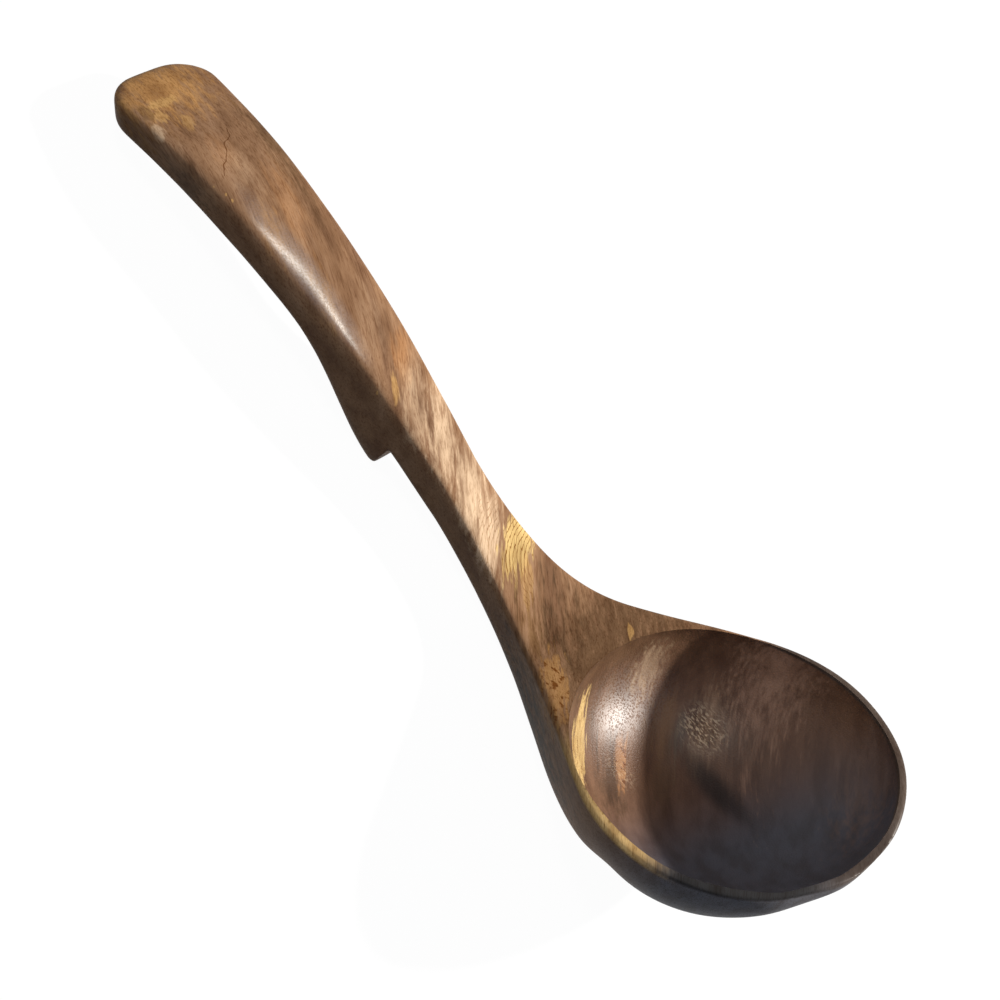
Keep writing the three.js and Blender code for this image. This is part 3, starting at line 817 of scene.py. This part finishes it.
curl_group, given, result = new_group(
    "Curl", {"Millimetres": "Vector", "Ragged": "Float"}, {"Line": "Float", "Fleck": "Float"})
level = calc_vector(curl_group, "MULTIPLY", given["Millimetres"], (1, 1, 0))
ring = calc(curl_group, "DIVIDE", calc_vector(curl_group, "DISTANCE", level, KNOT), RING_SPACING)
ring = calc(curl_group, "MULTIPLY_ADD", given["Ragged"], RING_RAGGED, ring)
wave = calc(curl_group, "SINE", calc(curl_group, "MULTIPLY", ring, 2 * math.pi))
feed(curl_group, result["Line"], ramp(curl_group, wave, *RING_LIMITS))
flecks = stretched_noise(curl_group, given["Millimetres"], FLECK_LENGTHS, 2)
feed(curl_group, result["Fleck"], ramp(curl_group, flecks, *FLECK_LIMITS))
print("rings lie", RING_SPACING, "mm apart round the knot")

# %% [markdown]
# ## The crack and the streak
# A fine dark crack wanders across the grip. It could be cut into the mesh, but it is finer than the faces, so
# it is a straight line that a noise pulls about. In the hollow, a broad dark streak runs down to the front:
# it is painted shade along the crease where the floor of the hollow meets its wall. Both are measured, in
# millimetres, along and aside of a line that is drawn on the ladle from above.

# %% Crack and streak groups
CRACK_START, CRACK_END = Vector((213, -4, 0)), Vector((197, 9, 0))
CRACK_HALF_WIDTH, CRACK_WANDER, WANDER_LENGTH, CRACK_LOWEST = 0.26, 5, 6, 25
STREAK_START, STREAK_END = Vector((-19, -14, 0)), Vector((-61, -5, 0))
STREAK_HALF_WIDTH, STREAK_FADE = 6, 0.8


def along_and_aside(tree, place, start, end):
    run = (end - start).normalized()
    from_middle = calc_vector(tree, "SUBTRACT", place, (start + end) / 2)
    ahead = calc_vector(tree, "DOT_PRODUCT", from_middle, run)
    return ahead, calc_vector(tree, "DOT_PRODUCT", from_middle, (-run.y, run.x, 0))


streak_group, given, result = new_group("Streak", {"Millimetres": "Vector"}, {"Mask": "Float"})
along, aside = along_and_aside(streak_group, given["Millimetres"], STREAK_START, STREAK_END)
on_streak = add_node(streak_group, "CombineXYZ", along, aside).outputs[0]
half_streak = (STREAK_END - STREAK_START).length / 2
streak_reach = (half_streak, STREAK_HALF_WIDTH, 1)
feed(streak_group, result["Mask"], nearness(streak_group, on_streak, (0, 0, 0), streak_reach, STREAK_FADE))

crack_group, given, result = new_group("Crack", {"Millimetres": "Vector"}, {"Line": "Float"})
along, aside = along_and_aside(crack_group, given["Millimetres"], CRACK_START, CRACK_END)
pull = stretched_noise(crack_group, given["Millimetres"], (WANDER_LENGTH,) * 3, 2)
pull = calc(crack_group, "SUBTRACT", pull, 0.5)
aside = calc(crack_group, "ABSOLUTE", calc(crack_group, "MULTIPLY_ADD", pull, CRACK_WANDER, aside))
thin = calc(crack_group, "SUBTRACT", 1, ramp(crack_group, aside, 0, CRACK_HALF_WIDTH))
half_run = (CRACK_END - CRACK_START).length / 2
ends = calc(crack_group, "LESS_THAN", calc(crack_group, "ABSOLUTE", along), half_run)
height = add_node(crack_group, "SeparateXYZ", given["Millimetres"]).outputs[2]
on_top = calc(crack_group, "GREATER_THAN", height, CRACK_LOWEST)
on_grip = calc(crack_group, "MULTIPLY", ends, on_top)
feed(crack_group, result["Line"], calc(crack_group, "MULTIPLY", thin, on_grip))
print("crack is", round(2 * half_run), "mm long, streak", round(2 * half_streak), "mm")

# %% [markdown]
# ## The colour of the wood
# This group puts the others together: heartwood bands from dark to light brown, sapwood patches and the
# bowl's shades over them, some of them painted light or shade, then the painted shade of the streak, the
# clouds, the dark strokes and pores, and the crack. Calm is a share: it quietens the bands, strokes and
# pores in the hollow, and brings out the streak and the darker stain there, whose blue-grey tint is a
# painted cool reflection.

# %% Wood colour group
DARK_BROWN, MID_BROWN, LIGHT_BROWN = srgb(139, 104, 78), srgb(168, 130, 98), srgb(186, 148, 116)
# The two stain colours are soup stain, and their blue-grey tint is a painted cool reflection.
OUTER_STAIN_AND_SHEEN, INNER_STAIN_AND_SHEEN, STAIN_STRENGTH = srgb(118, 123, 132), srgb(68, 75, 90), 0.9
RIM_GOLD, DARK_RIM, BROWN_RIM = srgb(255, 214, 146), srgb(60, 59, 60), srgb(92, 80, 72)
CALM_BROWN, PAINTED_CREASE_SHADE = srgb(114, 82, 62), srgb(112, 114, 122)
CLOUD_DARK, CLOUD_LIGHT, CLOUD_LIMITS = srgb(216, 210, 206), srgb(255, 255, 255), (0.3, 0.65)
MID_LIMITS, LIGHT_LIMITS = (0.3, 0.5), (0.5, 0.72)
STROKE_SHADE, PORE_SHADE = srgb(207, 194, 184), srgb(220, 210, 202)
CURL_SHADE, CRACK_SHADE = srgb(176, 146, 112), srgb(174, 148, 124)

color_group, given, result = new_group(
    "Wood Colour", {"Place": "Vector", "Calm": "Float"},
    {"Color": "Color", "Stroke": "Float", "Millimetres": "Vector"})
fibre = place_group(color_group, fibre_group, Place=given["Place"])
grain = place_group(color_group, grain_group, Fibre=fibre["Fibre"])
color = blend(color_group, ramp(color_group, grain["Band"], *MID_LIMITS), DARK_BROWN, MID_BROWN)
color = blend(color_group, ramp(color_group, grain["Band"], *LIGHT_LIMITS), color, LIGHT_BROWN)
color = blend(color_group, given["Calm"], color, CALM_BROWN)
shades = place_group(color_group, bowl_group, Millimetres=fibre["Millimetres"], Ragged=grain["Ragged"])
# Stain colour, with a painted cool reflection in its blue-grey tint.
stain_and_sheen = blend(color_group, given["Calm"], OUTER_STAIN_AND_SHEEN, INNER_STAIN_AND_SHEEN)
color = blend(color_group, calc(color_group, "MULTIPLY", shades["Stain"], STAIN_STRENGTH), color, stain_and_sheen)
curl = place_group(color_group, curl_group, Millimetres=fibre["Millimetres"], Ragged=grain["Ragged"])
figures = {"Line": curl["Line"], "Fleck": curl["Fleck"], "Stroke": grain["Stroke"]}
for title, middle, patch_reach, patch_color, strength, softness in PATCHES:
    middle_fibre = (middle[0], middle[1] - fibre_drift(middle[0]), middle[2])
    patch = place_group(
        color_group, patch_group, Fibre=fibre["Fibre"], Middle=middle_fibre, Reach=patch_reach,
        Ragged=grain["Ragged"], Softness=softness)
    color = blend(color_group, calc(color_group, "MULTIPLY", patch["Mask"], strength), color, patch_color)
    if title in FIGURED:
        figure, depth = FIGURED[title]
        share = calc(color_group, "MULTIPLY", patch["Mask"], depth)
        share = calc(color_group, "MULTIPLY", figures[figure], share)
        color = blend(color_group, share, color, CURL_SHADE, "MULTIPLY")
for shade, rim_color in (("Sapwood", RIM_GOLD), ("Dark Rim", DARK_RIM), ("Brown Rim", BROWN_RIM)):
    color = blend(color_group, shades[shade], color, rim_color)
# The streak is painted shade along the crease in the floor of the hollow.
streak = place_group(color_group, streak_group, Millimetres=fibre["Millimetres"])
streak_share = calc(color_group, "MULTIPLY", streak["Mask"], given["Calm"])
color = blend(color_group, streak_share, color, PAINTED_CREASE_SHADE, "MULTIPLY")
clouds = blend(color_group, ramp(color_group, grain["Cloud"], *CLOUD_LIMITS), CLOUD_DARK, CLOUD_LIGHT)
color = blend(color_group, 1.0, color, clouds, "MULTIPLY")
loud = calc(color_group, "SUBTRACT", 1, given["Calm"])
strokes = calc(color_group, "MULTIPLY", grain["Stroke"], loud)
color = blend(color_group, strokes, color, STROKE_SHADE, "MULTIPLY")
pores = calc(color_group, "MULTIPLY", grain["Pore"], loud)
color = blend(color_group, pores, color, PORE_SHADE, "MULTIPLY")
crack = place_group(color_group, crack_group, Millimetres=fibre["Millimetres"])
color = blend(color_group, crack["Line"], color, CRACK_SHADE, "MULTIPLY")
feed(color_group, result["Color"], color)
feed(color_group, result["Stroke"], strokes)
feed(color_group, result["Millimetres"], fibre["Millimetres"])
print("wood colour group has", len(color_group.nodes), "nodes")

# %% [markdown]
# ## The worked surface
# Oil on sanded wood leaves a fine orange peel. At two places on the floor of the hollow the scraper chattered
# and left ridges. Their crests are painted pale, a painted highlight of the glint on them, and the hollows
# between them are painted dark, a painted shade. Use has polished the near edge of the grip, the back wall
# of the hollow and the front of the rim. These marks are far finer than the mesh, so the group gives a
# height for a Bump node, and masks for the chatter, its painted ridge highlight, its painted dark marks and
# the polish. A place has its middle and its reach in millimetres. A chattered one then has its strength,
# and a polished one has its fade, its strength and the share of it that open pores break up.

# %% Surface group
PEEL_LENGTH, OPEN_PORES = 0.6, (0.38, 0.54)
CHATTER_LENGTHS, CHATTER_HEIGHT, CHATTER_FADE = (1.5, 0.6, 0.9), 5, 0.9
RIDGE_LIMITS, MARK_LIMITS = (0.5, 0.62), (0.5, 0.38)
CHATTER_PLACES = (((-24, -21, 17), (11, 9, 9), 1), ((-19, 10, 13), (8, 5.5, 6), 0.25))
POLISH_PLACES = (
    ((160, 8, 33.5), (48, 5.5, 4.5), 0.5, 1, 0.4),
    ((0, -7, 16), (20, 23, 15), 0.8, 0.5, 1),
    ((-73.5, -2, 74), (9, 30, 5), 0.9, 0.3, 0),
)

surface_group, given, result = new_group(
    "Worked Surface", {"Millimetres": "Vector"},
    {"Height": "Float", "Polish": "Float", "Chatter": "Float", "Ridge": "Float", "Mark": "Float"})
spot = given["Millimetres"]
peel = stretched_noise(surface_group, spot, (PEEL_LENGTH,) * 3)
clear = ramp(surface_group, peel, *OPEN_PORES)
chatter = polish = 0
for chatter_middle, chatter_reach, depth in CHATTER_PLACES:
    here = nearness(surface_group, spot, chatter_middle, chatter_reach, CHATTER_FADE)
    chatter = calc(surface_group, "MULTIPLY_ADD", here, depth, chatter)
for polish_middle, polish_reach, fade, depth, pitted in POLISH_PLACES:
    here = nearness(surface_group, spot, polish_middle, polish_reach, fade)
    shine = calc(surface_group, "MULTIPLY_ADD", clear, depth * pitted, depth * (1 - pitted))
    polish = calc(surface_group, "MULTIPLY_ADD", here, shine, polish)
ridges = stretched_noise(surface_group, spot, CHATTER_LENGTHS)
chatter_height = calc(surface_group, "MULTIPLY", chatter, CHATTER_HEIGHT)
feed(surface_group, result["Height"], calc(surface_group, "MULTIPLY_ADD", ridges, chatter_height, peel))
feed(surface_group, result["Polish"], polish)
feed(surface_group, result["Chatter"], chatter)
for label, limits in (("Ridge", RIDGE_LIMITS), ("Mark", MARK_LIMITS)):
    shown = ramp(surface_group, ridges, *limits)
    feed(surface_group, result[label], calc(surface_group, "MULTIPLY", chatter, shown))
print("surface has", len(CHATTER_PLACES), "chattered and", len(POLISH_PLACES), "polished places")

# %% [markdown]
# ## Oiled wood
# The same wood has two finishes. The outside is rubbed with oil and nearly matt, and a coat shines on the
# polished places. The hollow has taken up more oil: it is glossier, and its orange peel breaks the light up
# into specks. Two unrelated materials would show a change of timber at the rim, so both use the same groups.
# Strokes are a little rougher and lower than the wood between them, and chatter is a little smoother.

# %% Wood materials
COAT_IOR, OIL_IOR = 2.7, 1.6
STROKE_ROUGHNESS, STROKE_HOLLOW, CHATTER_ROUGHNESS = 0.1, -0.12, -0.1
# The ridge colour is a painted highlight, and the mark colour is painted shade between the ridges.
PAINTED_MARK_SHADE, PAINTED_RIDGE_HIGHLIGHT, RIDGE_STRENGTH = srgb(208, 204, 198), srgb(244, 216, 180), 0.9


def oiled_wood(name, roughness, coat_roughness, gloss, peel_depth, calm):
    material = bpy.data.materials.new(name)
    material.use_nodes = True
    tree = material.node_tree
    shader = tree.nodes["Principled BSDF"]
    wood = place_group(tree, color_group, Place=add_node(tree, "TexCoord").outputs["Object"], Calm=calm)
    worked = place_group(tree, surface_group, Millimetres=wood["Millimetres"])
    ridge_share = calc(tree, "MULTIPLY", worked["Ridge"], RIDGE_STRENGTH)
    color = blend(tree, ridge_share, wood["Color"], PAINTED_RIDGE_HIGHLIGHT)
    feed(tree, shader.inputs["Base Color"], blend(tree, worked["Mark"], color, PAINTED_MARK_SHADE, "MULTIPLY"))
    sanded = calc(tree, "MULTIPLY_ADD", wood["Stroke"], STROKE_ROUGHNESS, roughness)
    scraped = calc(tree, "MULTIPLY_ADD", worked["Chatter"], CHATTER_ROUGHNESS, sanded)
    feed(tree, shader.inputs["Roughness"], scraped)
    feed(tree, shader.inputs["Coat Weight"], worked["Polish"])
    shader.inputs["Coat Roughness"].default_value = coat_roughness
    shader.inputs["Coat IOR"].default_value = COAT_IOR
    shader.inputs["IOR"].default_value = OIL_IOR
    shader.inputs["Specular IOR Level"].default_value = gloss
    bump = add_node(tree, "Bump")
    bump.inputs["Strength"].default_value = 1
    bump.inputs["Distance"].default_value = peel_depth
    relief = calc(tree, "MULTIPLY_ADD", wood["Stroke"], STROKE_HOLLOW, worked["Height"])
    feed(tree, bump.inputs["Height"], relief)
    feed(tree, shader.inputs["Normal"], bump.outputs["Normal"])
    return material


outer_wood = oiled_wood(
    "oiled_wood", roughness=0.5, coat_roughness=0.35, gloss=0.04, peel_depth=0.04 * MM, calm=0)
hollow_wood = oiled_wood(
    "oiled_wood_hollow", roughness=0.46, coat_roughness=0.47, gloss=0.36, peel_depth=0.12 * MM, calm=0.85)
for piece in pieces.values():
    piece.data.materials[0] = outer_wood
    piece.data.materials[HOLLOW_SLOT] = hollow_wood
for piece in (handle, pot_hook):
    piece.data.materials.pop(index=HOLLOW_SLOT)
print("wood finishes:", outer_wood.name, hollow_wood.name)

# %% [markdown]
# ## Table
# The background is white. A white table under the lamps would throw much light back at the wood, so the table
# has dark paint, and it glows white for the camera and for reflections only. The wood isn't lit by that glow,
# and the table still shows the ladle's shadow faintly.

# %% Table
TABLE_SIZE, TABLE_DROP = 12, 0.05 * MM
TABLE_GLOW, TABLE_PAINT = 0.97, 0.05


def seen_by_eye(tree):
    sight = add_node(tree, "LightPath").outputs
    seen = calc(tree, "MAXIMUM", sight["Is Camera Ray"], sight["Is Glossy Ray"])
    return calc(tree, "MAXIMUM", seen, sight["Is Transmission Ray"])


bpy.ops.object.select_all(action="DESELECT")
bpy.ops.mesh.primitive_plane_add(size=TABLE_SIZE, location=(0, 0, -TABLE_DROP))
table = bpy.context.object
table.name = "table"
paint = bpy.data.materials.new("pale_table")
paint.use_nodes = True
board = paint.node_tree
board.nodes.clear()
glow_level = calc(board, "MULTIPLY", seen_by_eye(board), TABLE_GLOW)
glow = add_node(board, "Emission", (1, 1, 1, 1), glow_level).outputs[0]
matt = add_node(board, "BsdfDiffuse", (TABLE_PAINT, TABLE_PAINT, TABLE_PAINT, 1)).outputs[0]
both = add_node(board, "AddShader", glow, matt).outputs[0]
add_node(board, "OutputMaterial", both)
table.data.materials.append(paint)
print("table is", TABLE_SIZE, "m wide")

# %% [markdown]
# ## Lamps
# A small lamp stands for the window on the far side: it lights the back wall of the hollow, and the far rim
# throws a shadow with a clear edge across the bowl. A weak lamp overhead stands for the ceiling. A sun lamp
# would do too, but its rays all run one way, and those of a near window spread. A level of 1 lights white
# paint that faces the lamp to plain white.

# %% Lamps
LAMP_TARGET = Vector((0.06, 0, 0.02))


def lamp(name, direction, distance, size, level, color):
    toward = Vector(direction).normalized()
    bpy.ops.object.light_add(type="AREA", location=LAMP_TARGET + toward * distance)
    light = bpy.context.object
    light.name = name
    light.rotation_euler = toward.to_track_quat("Z", "Y").to_euler()
    light.data.shape = "DISK"
    light.data.size = size
    light.data.energy = level * (math.pi * distance) ** 2
    light.data.color = color
    print("lamp", name, "level", level)


lamp("window", direction=(-0.47, -0.583, 0.663), distance=1.3, size=0.065, level=1.4, color=(1, 0.96, 0.9))
lamp("ceiling", direction=(0.24, 0.22, 0.95), distance=1, size=0.15, level=0.2, color=(1, 0.94, 0.84))

# %% [markdown]
# ## Room
# The room gives a soft cool light, stronger overhead and towards the near side than from the other walls. Big
# lamps could do that, but the world lights every side and needs no placing. Low down, where a view looks past
# the edge of the table, it shows the same white as the table, to the camera and to reflections only.

# %% Room
ROOM_TURN = (0, 0.5, 0.87)
ROOM_DARK, ROOM_BRIGHT = (0.015, 0.017, 0.02, 1), (0.13, 0.16, 0.22, 1)
BACKDROP, BACKDROP_TOP, BACKDROP_EDGE = (TABLE_GLOW, TABLE_GLOW, TABLE_GLOW, 1), 0.4, 0.3

world = bpy.data.worlds.new("room")
world.use_nodes = True
room = world.node_tree
direction = add_node(room, "TexCoord").outputs["Generated"]
toward = calc_vector(room, "DOT_PRODUCT", direction, ROOM_TURN)
light = blend(room, ramp(room, toward, 0, 1), ROOM_DARK, ROOM_BRIGHT)
height = add_node(room, "SeparateXYZ", direction).outputs[2]
backdrop = calc(room, "MULTIPLY", seen_by_eye(room), ramp(room, height, BACKDROP_TOP, BACKDROP_EDGE))
feed(room, room.nodes["Background"].inputs["Color"], blend(room, backdrop, light, BACKDROP))
bpy.context.scene.world = world
bpy.context.scene.view_settings.view_transform = "Standard"
print("room is", world.name)
